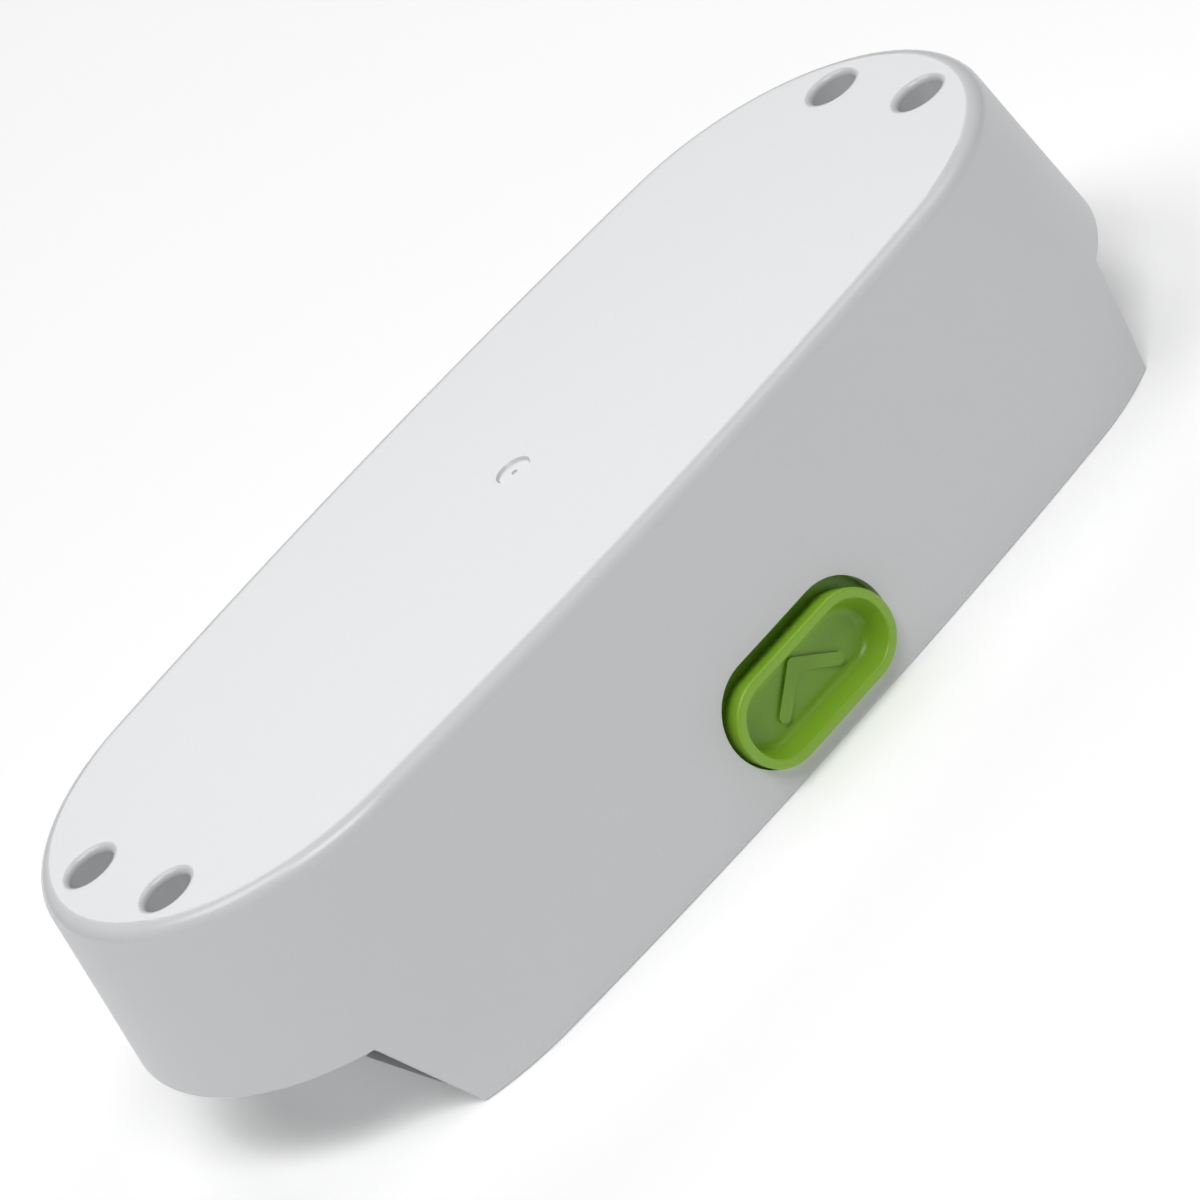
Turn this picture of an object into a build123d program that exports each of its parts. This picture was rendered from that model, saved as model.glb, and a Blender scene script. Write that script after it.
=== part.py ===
from build123d import *
from math import cos, radians, sin, sqrt, tan
import os

# Clip-on battery pack, in millimetres. The pack lies on the lower edges of its skirt, +Z is the normal of
# its face, +X runs along it and -Y is its front side. The origin is the middle of its footprint.

# Case outside
face_half_length = 108.0      # face, before its edge is rounded
face_half_width = 45.0
end_radius = 42.4             # round ends of the face outline
case_height = 51.4            # skirt edge to face
draft_degrees = 6.8           # lean of the side walls
draft = radians(draft_degrees)
face_edge_round = 3.0
skirt_edge_round = 0.45
wall = 2.5
face_wall = 3.0
rim_height = 17.4             # lower edge of both end walls
slant_top_x = 93.1            # slanted ends of the skirt, at the rim height
slant_bottom_x = 86.2         # and at the skirt edge
mark_radius = 3.35            # round moulded recess in the middle of the face
mark_depth = 0.5
mark_slope = 0.4              # its wall leans out this far
mark_dimple = 0.6
merge = 0.5                   # how far two features of one piece run into each other

# Screw wells in the face
well_x = 96.1
well_y = 12.4
well_bore = 8.8
well_lip = 1.2
well_draft = radians(1.2)
well_wall = 1.8
well_floor_top = 26.5
well_floor = 2.5

# Case screws and their threaded inserts
screw_diameter = 3.9
screw_length = 6.6
head_diameter = 7.2
head_height = 2.6
screw_clearance = 0.25
head_round = 0.9
socket_radius = 1.55
socket_depth = 1.6
insert_diameter = 5.6
insert_length = 4.6
insert_wall_gap = 0.02

# Base cover under the case
fit_gap = 0.25                # base cover to case wall
base_wall = 2.2
base_rim = 2.0                # upstanding edge of the base cover
plate_recess = 1.0            # end plates above the rim
slant_recess = 1.6            # slanted faces behind the skirt
lip_height = 3.2
lip_recess = 0.2
saddle_rise = 3.4             # concave underside, at the middle
saddle_edge = 0.2             # and at the walls
rim_top = 22.0
bay_depth = 38.0              # the upstanding edge is open for the sliders beyond this

# Release sliders, one in each long side
hole_height = 12.7            # middle of the hole above the skirt edge
slider_length = 35.4
slider_width = 16.8
slider_gap = 0.3              # hole edge to slider, at rest and at the end of its room
slider_end_gap = 0.8
slider_room = 2.4             # how far the hole would let the slider rise
hole_length = slider_length + 2 * slider_end_gap
hole_width = slider_width + 2 * slider_gap + slider_room
slider_proud = 2.0
slider_taper = 4.0
cup_lip = 1.7
cup_depth = 5.2
cup_taper = 17.0
cup_floor_round = 2.0
cup_back = 1.6
rim_round = 0.5
cup_mouth_round = 0.35
arrow_half_span = 6.9
arrow_rise = 5.3
arrow_stroke = 2.2
arrow_height = 0.6
arrow_up = 0.3                # above the slider's middle
flange_thickness = 1.6
flange_corner = 2.0
flange_overlap = 2.6          # flange past the hole at the ends
flange_cover = 2.9            # flange past the hole at the top, at rest
flange_gap = 0.35             # flange to wall and to guide

# Slider guide, spring and screws
guide_thickness = 2.0
guide_leg = 9.9
guide_hold = 2.0              # guide over each end of the flange
guide_bar = 2.8
spring_radius = 2.0           # middle of the wire
spring_wire = 0.5
spring_length = 6.6
spring_turns = 6
spring_seat = 1.0             # foot and ledge past the coil
seat_thickness = 1.0
guide_screw_diameter = 2.2
guide_screw_head = 4.4
guide_screw_head_height = 1.6
guide_screw_slot = (0.8, 0.7) # width and depth
guide_boss = 6.0
guide_screw_up = 2.0          # above the slider's middle
pilot_gap = 0.05
pilot_skin = 1.9               # wall left outside each guide pilot hole
pilot_tip_gap = 0.2            # screw tip to the end of its pilot hole

# Latch levers
pivot_y = 31.5
pivot_z = 20.5
pin_diameter = 3.0
pin_fit = 0.05                # radial, in the lever
pin_seat = 0.02               # radial, in the ears
lever_half_width = 8.0
lever_hub = 6.4
lever_arm = 10.0              # pivot to peg
lever_plate = 3.0
peg_diameter = 3.0
peg_gap = 0.3
fork_rib = 1.5
fork_half_width = 6.0
nose_reach = 7.5              # inward from the pivot
nose_bottom = 8.0
nose_height = 3.0
nose_lead_in = (1.0, 1.2)
ear_gap = 1.0
ear_width = 3.0
ear_depth = 8.0
tab_slot_y = 22.5             # slots in the saddle for the dock's tabs
tab_slot_width = 7.0
tab_slot_length = 30.0

# Cells and what holds them
cell_count = 9
cell_diameter = 18.4
cell_length = 65.2
cell_spacing = 0.8
cell_pocket_gap = 0.1
cell_end_round = 0.6
cell_groove = (1.2, 0.5)      # width and depth of the rolled groove under the cap
cell_groove_place = 3.4
cell_dish_edge = 2.2          # rim of the can round the cap
cell_dish_depth = 0.8
cell_cap_radius = 3.6
holder_margin = 0.8           # holder above and below a cell
holder_lip = 1.0
holder_pocket = 5.0
holder_window = 12.0
holder_corner = 2.0
link_thickness = 0.3
link_height = 9.0
link_tail = 14.6              # cell axis to the lower end of a lead tail
link_tail_width = 6.0
link_corner = 1.5
weld_diameter = 4.4
sheet_thickness = 0.4
sheet_gap = 0.1
sheet_inset = 1.0             # inside the holder's outline
sheet_corner = 3.0
foam_inset = (4.0, 2.0)       # inside the holders, along and across the case
foam_thickness = 2.0
foam_gap = 0.1
holder_post_x = 60.0
holder_post_y = 30.6
holder_post = 7.0

# Board
board_length = 150.0
board_width = 34.0
board_thickness = 1.6
board_z = 17.0
board_screw_x = 71.0
board_screw_y = 13.6
board_post = 6.0
board_screw = 2.2
board_screw_head = 4.4
board_screw_head_height = 1.6
board_screw_length = 7.0
board_corner = 2.0
cross_recess = (3.0, 0.7)     # length and width of the driver's cross
cross_depth = 0.7
lead_diameter = 2.6
lead_bend = 10.8
lead_bend_radius = 12.0
lead_run = 12.0               # along the board, to the pad
lead_turn_y = 8.0
lead_above_tail = 1.5
sense_width = 15.0
sense_thickness = 0.3
sense_x = 36.0
header_size = (22.0, 6.4)
header_pocket = (20.0, 4.6, 3.0)
header_place = (39.0, -13.0)
header_height = 5.2

# Parts on the board: length, width and height, and the middle of each
transistor_count = 6
transistor_pitch = 11.5
transistor_first_x = -53.0
transistor_y = 10.5
transistor_size = (9.6, 8.4, 4.4)
transistor_tab = (9.6, 2.6, 0.5)
spreader_thickness = 1.2
spreader_margin = 0.7         # past the transistors at both ends
chip_size = (12.0, 12.0, 1.3)
chip_place = (14.0, -8.0)
chip_edge = 0.25
capacitor_count = 4
capacitor_pitch = 7.0
capacitor_place = (18.0, 11.0)
capacitor_diameter = 5.0
capacitor_height = 5.6
shunt_size = (14.0, 5.0, 2.4)
shunt_place = (-40.0, -6.0)
shunt_foot = 2.5
shunt_clearance = 1.2
fuse_size = (12.0, 6.0, 4.6)
fuse_caps = (14.5, 5.0, 3.2)
fuse_place = (52.0, 10.5)
bead_diameter = 2.6
bead_gap = 0.3                # bead to cell
bead_lead = 0.6
bead_lead_pitch = 1.2
bead_y = 4.0

# Docking contacts
window_length = 40.0
window_width = 14.0
block_gap = 0.3
block_flange_z = 9.0
block_flange = 2.0
block_flange_length = 62.0
block_flange_width = 18.0
block_top = 14.0
recess_length = 36.0
recess_width = 10.0
recess_top = 8.6
contact_screw_x = 27.0
contact_boss = 6.0
contact_pitch = 12.0
contact_thickness = 0.8
contact_width = 7.0
contact_reach = 8.4
contact_corner = 0.8
stem_width = 3.0
stem_gap = 0.05
stem_above_board = 0.8

# Small pieces on the end plates
vent_x = 101.0
vent_bore = 8.0
vent_flange = 11.0
vent_flange_thickness = 0.8
vent_edge = 0.3
vent_slot = (4.4, 0.5, 0.8)
vent_barb = 1.2               # past the plate
label_length = 12.0
label_width = 28.0
label_thickness = 0.2
label_corner = 2.0
label_x = 99.5


cell_pitch = cell_diameter + cell_spacing
holder_height = cell_diameter + 2 * holder_margin
cell_z = case_height - face_wall - foam_thickness - 2 * foam_gap - holder_height / 2


def wall_reach(z):
    # half width of the outer wall at this height
    return face_half_width + (case_height - z) * tan(draft)


def outline(grow):
    # two shallow side arcs, tangent to two round ends, grown outward
    end_x = face_half_length - end_radius
    side_radius = end_x**2 + face_half_width**2 - end_radius**2
    side_radius = side_radius / (2 * (face_half_width - end_radius))
    reach = side_radius - end_radius
    x = end_x * (side_radius + grow) / reach
    y = (side_radius - face_half_width) * (end_radius + grow) / reach
    side = face_half_width + grow
    end = face_half_length + grow
    edges = [
        ThreePointArc((-x, y), (0, side), (x, y)),
        ThreePointArc((x, y), (end, 0), (x, -y)),
        ThreePointArc((x, -y), (0, -side), (-x, -y)),
        ThreePointArc((-x, -y), (-end, 0), (-x, y)),
    ]
    return Face(Wire(edges))


def drafted_block(z_high, z_low, inset):
    # its wall is parallel to the outer wall, and lies this far inside it
    grow = (case_height - z_high) * tan(draft) - inset / cos(draft)
    profile = Pos(0, 0, z_high) * outline(grow)
    return extrude(profile, amount=z_high - z_low, dir=(0, 0, -1), taper=-draft_degrees)


def prism_xz(points, half_depth):
    profile = Plane.XZ * Polygon(*points, align=None)
    return extrude(profile, amount=half_depth, both=True)


def prism_yz(points, half_width):
    profile = Plane.YZ * Polygon(*points, align=None)
    return extrude(profile, amount=half_width, both=True)


def box_between(low, high):
    size = [high[i] - low[i] for i in range(3)]
    middle = [(high[i] + low[i]) / 2 for i in range(3)]
    return Pos(*middle) * Box(*size)


def rod_z(diameter, x, y, z_low, z_high):
    return Pos(x, y, (z_low + z_high) / 2) * Cylinder(diameter / 2, z_high - z_low)


def rod_x(diameter, x_low, x_high, y, z):
    return Pos((x_low + x_high) / 2, y, z) * Rot(0, 90, 0) * Cylinder(diameter / 2, x_high - x_low)


def corners(x, y):
    return [(sx * x, sy * y) for sx in (-1, 1) for sy in (-1, 1)]


def turned(shape):
    # the same piece on the rear side
    return Rot(0, 0, 180) * shape


def slant_x(z, recess):
    return slant_bottom_x + (slant_top_x - slant_bottom_x) * z / rim_height - recess


# The wall plane: X along the case, Y up the front wall, Z out of it, from the middle of the slider at rest.
slider_height = hole_height - (hole_width - slider_width) / 2 + slider_gap
wall_plane = Plane(
    origin=(0, -wall_reach(slider_height), slider_height),
    x_dir=(1, 0, 0),
    z_dir=(0, -cos(draft), sin(draft)),
)
side_sag = 0.3                # how far the shallow side arc drops over half a flange
flange_front = -(wall + flange_gap + side_sag)
flange_back = flange_front - flange_thickness
guide_front = flange_back - flange_gap
guide_back = guide_front - guide_thickness
flange_half = hole_length / 2 + flange_overlap
flange_top = (hole_height - slider_height) + hole_width / 2 + flange_cover
flange_bottom = 0.4 - slider_width / 2
spring_n = flange_front - spring_radius - spring_wire / 2
guide_screw_x = flange_half + flange_gap + guide_boss / 2 + slider_gap
guide_window_top = flange_top + spring_length
guide_half = flange_half - guide_hold + guide_leg


def wall_box(x_low, x_high, up_low, up_high, out_low, out_high):
    return wall_plane * box_between((x_low, up_low, out_low), (x_high, up_high, out_high))


def wall_rod(diameter, x, up, out_low, out_high):
    return wall_plane * Pos(x, up, (out_low + out_high) / 2) * Cylinder(diameter / 2, out_high - out_low)


def skirt_cut():
    # everything under the two end walls, past the slanted ends of the skirt
    far = 2 * face_half_length
    half = [(slant_x(-1, 0), -1), (slant_x(rim_height, 0), rim_height), (far, rim_height), (far, -1)]
    left = [(-x, z) for x, z in half]
    return prism_xz(half, far) + prism_xz(left, far)


def well_cone(x, y, z_low, grow):
    top = well_bore / 2 + grow
    bottom = top - (case_height - z_low) * tan(well_draft)
    return Pos(x, y, (case_height + z_low) / 2) * Cone(bottom, top, case_height - z_low)


def slider_hole():
    slot = Pos(0, (hole_height - slider_height) / cos(draft)) * SlotOverall(hole_length, hole_width)
    return extrude(wall_plane * slot, amount=3 * wall, both=True)


def mould_mark():
    recess = Cone(mark_radius - mark_slope, mark_radius, mark_depth)
    dimple = Pos(0, 0, -mark_depth / 2) * Sphere(mark_dimple)
    return Pos(0, 0, case_height - mark_depth / 2) * (recess + dimple)


def under_case(face):
    # the flat faces under the end walls, the slanted ends and the skirt
    return face.geom_type == GeomType.PLANE and face.normal_at().Z < 0.5


def make_housing_shell():
    body = drafted_block(case_height, 0, 0)
    body = fillet(body.faces().sort_by(Axis.Z)[-1].edges(), face_edge_round)
    body -= skirt_cut()
    body = fillet(body.faces().filter_by(under_case).edges(), skirt_edge_round)
    body -= drafted_block(case_height - face_wall, -1, wall)
    for x, y in corners(well_x, well_y):
        body += well_cone(x, y, well_floor_top - well_floor, well_wall) & box_between(
            (x - well_bore, y - well_bore, 0), (x + well_bore, y + well_bore, case_height - 1)
        )
    for x, y in corners(well_x, well_y):
        body -= well_cone(x, y, well_floor_top, 0)
        body -= rod_z(screw_diameter + 2 * screw_clearance, x, y, 0, case_height)
    mouths = [
        e for e in body.edges().filter_by(GeomType.CIRCLE)
        if abs(e.center().Z - case_height) < 0.01 and abs(e.radius - well_bore / 2) < 0.01
    ]
    body = fillet(mouths, well_lip)
    body -= mould_mark()
    hole = slider_hole()
    bosses = []
    pilots = []
    for side in (-1, 1):
        x = side * guide_screw_x
        bosses.append(wall_rod(guide_boss, x, guide_screw_up, guide_front, -wall / 2))
        bore = guide_screw_diameter + 2 * pilot_gap
        pilots.append(wall_rod(bore, x, guide_screw_up, guide_front - 1, -pilot_skin))
    for place in (Rot(0, 0, 0), Rot(0, 0, 180)):
        body -= place * hole
        for boss in bosses:
            body += place * boss
        for pilot in pilots:
            body -= place * pilot
    return body


plate_z = rim_height + plate_recess
saddle_half = wall_reach(saddle_edge) - wall / cos(draft) - fit_gap
saddle_drop = saddle_rise - saddle_edge
saddle_radius = (saddle_half**2 + saddle_drop**2) / (2 * saddle_drop)


def saddle_cylinder(grow):
    length = 4 * face_half_length
    return Pos(0, 0, saddle_rise - saddle_radius) * Rot(0, 90, 0) * Cylinder(saddle_radius + grow, length)


def saddle_top(y):
    # upper side of the saddle plate at this distance from the middle
    return saddle_rise - saddle_radius + sqrt((saddle_radius + base_wall)**2 - y**2)


def base_profile(points):
    left = [(-x, z) for x, z in reversed(points)]
    return prism_xz(points + left, face_half_length)


def base_shell():
    far = 2 * face_half_length
    high = case_height
    outside = drafted_block(rim_top, 0, wall + fit_gap)
    outside &= base_profile([
        (slant_x(-1, lip_recess), -1),
        (slant_x(lip_height, lip_recess), lip_height),
        (slant_x(lip_height, slant_recess), lip_height),
        (slant_x(plate_z, slant_recess), plate_z),
        (far, plate_z),
        (far, high),
    ])
    floor_z = plate_z + base_wall
    thick = base_wall * sqrt(1 + ((slant_top_x - slant_bottom_x) / rim_height)**2)
    inside = drafted_block(rim_top + 1, -1, wall + fit_gap + base_rim)
    inside &= base_profile([
        (slant_x(-1, slant_recess + thick), -1),
        (slant_x(floor_z, slant_recess + thick), floor_z),
        (far, floor_z),
        (far, high),
    ])
    return outside - (inside - saddle_cylinder(base_wall)) - saddle_cylinder(0)


def lever_ear(x_low):
    ear = box_between(
        (x_low, -pivot_y - ear_depth / 2, saddle_edge + base_wall),
        (x_low + ear_width, -pivot_y + ear_depth / 2, pivot_z + ear_depth / 2),
    )
    top = ear.edges().filter_by(Axis.X).sort_by(Axis.Z)[-2:]
    return fillet(top, ear_depth / 2 - 0.5)


def make_base_cover():
    body = base_shell()
    bay_half = guide_half + 1
    slider_bay = box_between((-bay_half, -face_half_length, -1), (bay_half, -bay_depth, case_height))
    slider_bay -= saddle_cylinder(base_wall)
    body -= slider_bay
    body -= turned(slider_bay)
    for x, y in corners(well_x, well_y):
        body += rod_z(insert_diameter + 2 * base_wall, x, y, plate_z, well_floor_top - well_floor)
    posts = [
        (corners(board_screw_x, board_screw_y), board_post, board_z),
        (corners(holder_post_x, holder_post_y), holder_post, cell_z - holder_height / 2),
        ([(-contact_screw_x, 0), (contact_screw_x, 0)], contact_boss, block_flange_z),
    ]
    for places, diameter, top in posts:
        for x, y in places:
            body += rod_z(diameter, x, y, saddle_rise + 0.1, top)
            body += rod_z(diameter, x, y, saddle_top(y) - 1, top)
    ears = lever_ear(lever_half_width + ear_gap) + lever_ear(-lever_half_width - ear_gap - ear_width)
    ears -= rod_x(pin_diameter + 2 * pin_seat, -face_half_width, face_half_width, -pivot_y, pivot_z)
    body += ears
    body += turned(ears)
    body -= saddle_cylinder(0)
    for y in (-tab_slot_y, tab_slot_y):
        body -= Pos(0, y, saddle_rise) * Box(tab_slot_length, tab_slot_width, 4 * base_wall)
    body -= Pos(0, 0, saddle_rise) * Box(window_length, window_width, 4 * base_wall)
    for x, y in corners(well_x, well_y):
        top = well_floor_top - well_floor
        body -= rod_z(insert_diameter + 2 * insert_wall_gap, x, y, top - insert_length, top + 1)
    for x, y in corners(board_screw_x, board_screw_y):
        body -= rod_z(board_screw + 2 * pilot_gap, x, y, board_z - board_screw_length, board_z + 1)
    for x in (-contact_screw_x, contact_screw_x):
        body -= rod_z(board_screw + 2 * pilot_gap, x, 0, saddle_rise + base_wall, block_flange_z + 1)
    body -= rod_z(vent_bore + 2 * pilot_gap, -vent_x, 0, plate_z - 1, plate_z + 2 * base_wall)
    return body


def arrow():
    arms = []
    for side in (-1, 1):
        start = Vector(0, arrow_rise / 2)
        end = Vector(side * arrow_half_span, -arrow_rise / 2)
        reach = (end - start).length
        angle = (end - start).get_angle(Vector(1, 0, 0))
        middle = (start + end) * 0.5
        arms.append(Pos(middle.X, middle.Y) * Rot(0, 0, -angle) * SlotCenterToCenter(reach, arrow_stroke))
    return arms[0] + arms[1]


def make_release_slider():
    front = slider_proud
    rim = SlotOverall(slider_length, slider_width)
    body = extrude(Pos(0, 0, front) * rim, amount=front - flange_back, dir=(0, 0, -1), taper=slider_taper)
    body = fillet(body.faces().sort_by(Axis.Z)[-1].edges(), rim_round)
    back = front - cup_depth - cup_back
    inner = SlotOverall(slider_length - 2 * cup_lip, slider_width - 2 * cup_lip)
    cup = extrude(Pos(0, 0, front) * inner, amount=cup_depth, dir=(0, 0, -1), taper=cup_taper)
    cup = fillet(cup.faces().sort_by(Axis.Z)[0].edges(), cup_floor_round)
    shrink = 2 * cup_depth * tan(radians(cup_taper))
    rear_cup = SlotOverall(slider_length - shrink, slider_width - shrink)
    body += extrude(Pos(0, 0, back) * rear_cup, amount=flange_back - back + merge)
    flange = box_between((-flange_half, flange_bottom, flange_back), (flange_half, flange_top, flange_front))
    flange = fillet(flange.edges().filter_by(Axis.Z), flange_corner)
    body += flange
    seat_half = spring_radius + spring_seat
    seat = box_between((-seat_half, flange_top - seat_thickness, spring_n - spring_radius - flange_gap),
                       (seat_half, flange_top, flange_back + merge))
    body += seat
    body -= cup
    lip = [e for e in body.edges() if abs(e.center().Z - front) < 0.01 and abs(e.center().Y) < slider_width]
    body = fillet([e for e in lip if e.length > 1], cup_mouth_round)
    floor_z = front - cup_depth
    body += extrude(Pos(0, arrow_up, floor_z - merge) * arrow(), amount=arrow_height + merge)
    body = wall_plane * body
    peg_y = -pivot_y - lever_arm
    slot_half = peg_diameter / 2 + peg_gap
    for sign in (-1, 1):
        near = pivot_z + sign * slot_half
        far = near + sign * fork_rib
        low, high = min(near, far), max(near, far)
        reach_y = -wall_reach(low) + (-flange_back) / cos(draft) - merge
        tip_y = peg_y + peg_diameter / 2 + 2 * peg_gap
        body += box_between((-fork_half_width, reach_y, low), (fork_half_width, tip_y, high))
    return body


def make_slider_guide():
    outer = box_between((-guide_half, flange_bottom + 1.5, guide_back),
                        (guide_half, guide_window_top + guide_bar, guide_front))
    outer = fillet(outer.edges().filter_by(Axis.Z), flange_corner)
    inner_half = flange_half - guide_hold
    outer -= box_between((-inner_half, -2 * slider_width, guide_back - 1),
                         (inner_half, guide_window_top, guide_front + 1))
    ledge = spring_radius + 1.5 * spring_seat
    ledge_top = guide_window_top + guide_bar
    outer += box_between((-ledge, guide_window_top, guide_back), (ledge, ledge_top, flange_front))
    for side in (-1, 1):
        hole = Cylinder(guide_screw_diameter / 2 + 2 * pilot_gap, 4 * guide_thickness)
        outer -= Pos(side * guide_screw_x, guide_screw_up, guide_front) * hole
    return wall_plane * outer


def make_slider_spring():
    pitch = (spring_length - spring_wire - 0.02) / spring_turns
    path = Helix(pitch=pitch, height=pitch * spring_turns, radius=spring_radius)
    section = Plane(origin=path @ 0, z_dir=path % 0) * Circle(spring_wire / 2)
    coil = sweep(section, path=path)
    foot = flange_top + spring_wire / 2 + 0.01
    return wall_plane * Pos(0, foot, spring_n) * Rot(-90, 0, 0) * coil


def make_guide_screws():
    screws = []
    for side in (-1, 1):
        x = side * guide_screw_x
        head = wall_rod(guide_screw_head, x, guide_screw_up, guide_back - guide_screw_head_height, guide_back)
        width, depth = guide_screw_slot
        outer = guide_back - guide_screw_head_height
        slot = wall_box(x - guide_screw_head, x + guide_screw_head, guide_screw_up - width / 2,
                        guide_screw_up + width / 2, outer, outer + depth)
        tip = -pilot_skin - pilot_tip_gap
        shank = wall_rod(guide_screw_diameter, x, guide_screw_up, guide_back - 0.1, tip)
        screws.append(head - slot + shank)
    return screws


def make_latch_lever():
    peg_y = -pivot_y - lever_arm
    hub = rod_x(lever_hub, -lever_half_width, lever_half_width, -pivot_y, pivot_z)
    peg = rod_x(peg_diameter, -lever_half_width, lever_half_width, peg_y, pivot_z)
    half = lever_plate / 2
    arm_half = fork_half_width + peg_gap
    body = hub + peg
    for side in (-1, 1):
        low, high = sorted((side * arm_half, side * lever_half_width))
        body += box_between((low, peg_y, pivot_z - half), (high, -pivot_y, pivot_z + half))
    hook = prism_yz([
        (-pivot_y - half, pivot_z),
        (-pivot_y - half, nose_bottom),
        (-pivot_y + nose_reach - nose_lead_in[0], nose_bottom),
        (-pivot_y + nose_reach, nose_bottom + nose_lead_in[1]),
        (-pivot_y + nose_reach, nose_bottom + nose_height),
        (-pivot_y + half, nose_bottom + nose_height),
        (-pivot_y + half, pivot_z),
    ], lever_half_width)
    body += hook
    body -= rod_x(pin_diameter + 2 * pin_fit, -face_half_width, face_half_width, -pivot_y, pivot_z)
    return body


def make_latch_pin():
    half = lever_half_width + ear_gap + ear_width + 0.5
    pin = rod_x(pin_diameter, -half, half, -pivot_y, pivot_z)
    return chamfer(pin.edges().filter_by(GeomType.CIRCLE), 0.3)


def cell_x(index):
    return (index - (cell_count - 1) / 2) * cell_pitch


def make_cell(index):
    # every second cell is turned end for end, so that they join in series
    half = cell_length / 2
    sleeve = Rot(90, 0, 0) * Cylinder(cell_diameter / 2, cell_length)
    sleeve = fillet(sleeve.edges().filter_by(GeomType.CIRCLE), cell_end_round)
    width, depth = cell_groove
    groove = Rot(90, 0, 0) * (Cylinder(cell_diameter, width) - Cylinder(cell_diameter / 2 - depth, width))
    groove = Pos(0, half - cell_groove_place, 0) * groove
    dish = Cylinder(cell_diameter / 2 - cell_dish_edge, 2 * cell_dish_depth)
    dish -= Cylinder(cell_cap_radius, 2 * cell_dish_depth)
    dish = Pos(0, half, 0) * Rot(90, 0, 0) * dish
    turn = 180 * (index % 2)
    return Pos(cell_x(index), 0, cell_z) * Rot(0, 0, turn) * (sleeve - groove - dish)


holder_in = cell_length / 2 - holder_pocket
holder_out = cell_length / 2 + holder_lip
holder_half = cell_count * cell_pitch / 2 + 0.2


def make_cell_holder():
    low = (-holder_half, -holder_out, cell_z - holder_height / 2)
    high = (holder_half, -holder_in, cell_z + holder_height / 2)
    body = box_between(low, high)
    body = fillet(body.edges().filter_by(Axis.Y), holder_corner)
    pocket = Rot(90, 0, 0) * Cylinder(cell_diameter / 2 + cell_pocket_gap, 2 * holder_pocket)
    window = Rot(90, 0, 0) * Cylinder(holder_window / 2, 4 * holder_pocket)
    for index in range(cell_count):
        body -= Pos(cell_x(index), -holder_in, cell_z) * pocket
        body -= Pos(cell_x(index), -holder_out, cell_z) * window
    return body


def link_strip(first, last, tail):
    half = link_height / 2
    low_x = cell_x(first) - half
    high_x = cell_x(last) + half
    near = -holder_out - link_thickness
    strip = box_between((low_x, near, cell_z - half), (high_x, -holder_out, cell_z + half))
    strip = fillet(strip.edges().filter_by(Axis.Y), link_corner)
    for index in range(first, last + 1):
        weld = Rot(90, 0, 0) * Cylinder(weld_diameter / 2, holder_lip + link_thickness / 2)
        middle = -(cell_length / 2 + holder_out + link_thickness / 2) / 2
        strip += Pos(cell_x(index), middle, cell_z) * weld
    if tail:
        x = cell_x(first)
        low = (x - link_tail_width / 2, near, cell_z - link_tail)
        strip += box_between(low, (x + link_tail_width / 2, -holder_out, cell_z))
    return strip


def make_nickel_links():
    # the last cell's strip has a tail for the power lead
    pairs = [(i, i + 1, False) for i in range(0, cell_count - 1, 2)]
    return [link_strip(*pair) for pair in pairs + [(cell_count - 1, cell_count - 1, True)]]


def make_insulating_sheet():
    near = -holder_out - link_thickness - sheet_gap
    half = holder_half - sheet_inset
    rise = holder_height / 2 - sheet_inset
    sheet = box_between((-half, near - sheet_thickness, cell_z - rise), (half, near, cell_z + rise))
    return fillet(sheet.edges().filter_by(Axis.Y), sheet_corner)


def make_foam_pad():
    top = case_height - face_wall - foam_gap
    half = holder_half - foam_inset[0]
    side = holder_out - foam_inset[1]
    pad = box_between((-half, -side, top - foam_thickness), (half, side, top))
    return fillet(pad.edges().filter_by(Axis.Z), sheet_corner)


board_top = board_z + board_thickness


def on_board(size, x, y):
    length, width, height = size
    low = (x - length / 2, y - width / 2, board_top)
    return box_between(low, (x + length / 2, y + width / 2, board_top + height))


def make_bms_board():
    half = board_length / 2
    board = box_between((-half, -board_width / 2, board_z), (half, board_width / 2, board_top))
    board = fillet(board.edges().filter_by(Axis.Z), board_corner)
    for x, y in corners(board_screw_x, board_screw_y):
        board -= rod_z(board_screw + 4 * pilot_gap, x, y, 0, case_height)
    for x in contact_places():
        slot = Box(stem_width + 2 * stem_gap, contact_thickness + 2 * stem_gap, 4 * board_thickness)
        board -= Pos(x, 0, board_z) * slot
    return board


def make_board_screws():
    screws = []
    length, width = cross_recess
    cross = Box(length, width, 2 * cross_depth) + Box(width, length, 2 * cross_depth)
    for x, y in corners(board_screw_x, board_screw_y):
        head = rod_z(board_screw_head, x, y, board_top, board_top + board_screw_head_height)
        head -= Pos(x, y, board_top + board_screw_head_height) * cross
        shank = rod_z(board_screw, x, y, board_z - board_screw_length + 0.6, board_top + 0.1)
        screws.append(head + shank)
    return screws


def transistor_x(index):
    return transistor_first_x + transistor_pitch * index


def make_power_transistors():
    tab_y = transistor_y - (transistor_size[1] + transistor_tab[1]) / 2
    return [
        on_board(transistor_size, transistor_x(i), transistor_y)
        + on_board(transistor_tab, transistor_x(i), tab_y)
        for i in range(transistor_count)
    ]


def make_heat_spreader():
    length, width, height = transistor_size
    reach = length / 2 + spreader_margin
    last_x = transistor_x(transistor_count - 1)
    low_z = board_top + height
    low = (transistor_x(0) - reach, transistor_y - width / 2, low_z)
    return box_between(low, (last_x + reach, transistor_y + width / 2, low_z + spreader_thickness))


def make_controller_chip():
    chip = on_board(chip_size, *chip_place)
    return chamfer(chip.faces().sort_by(Axis.Z)[-1].edges(), chip_edge)


def make_capacitors():
    x, y = capacitor_place
    return [
        rod_z(capacitor_diameter, x + capacitor_pitch * index, y, board_top, board_top + capacitor_height)
        for index in range(capacitor_count)
    ]


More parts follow.
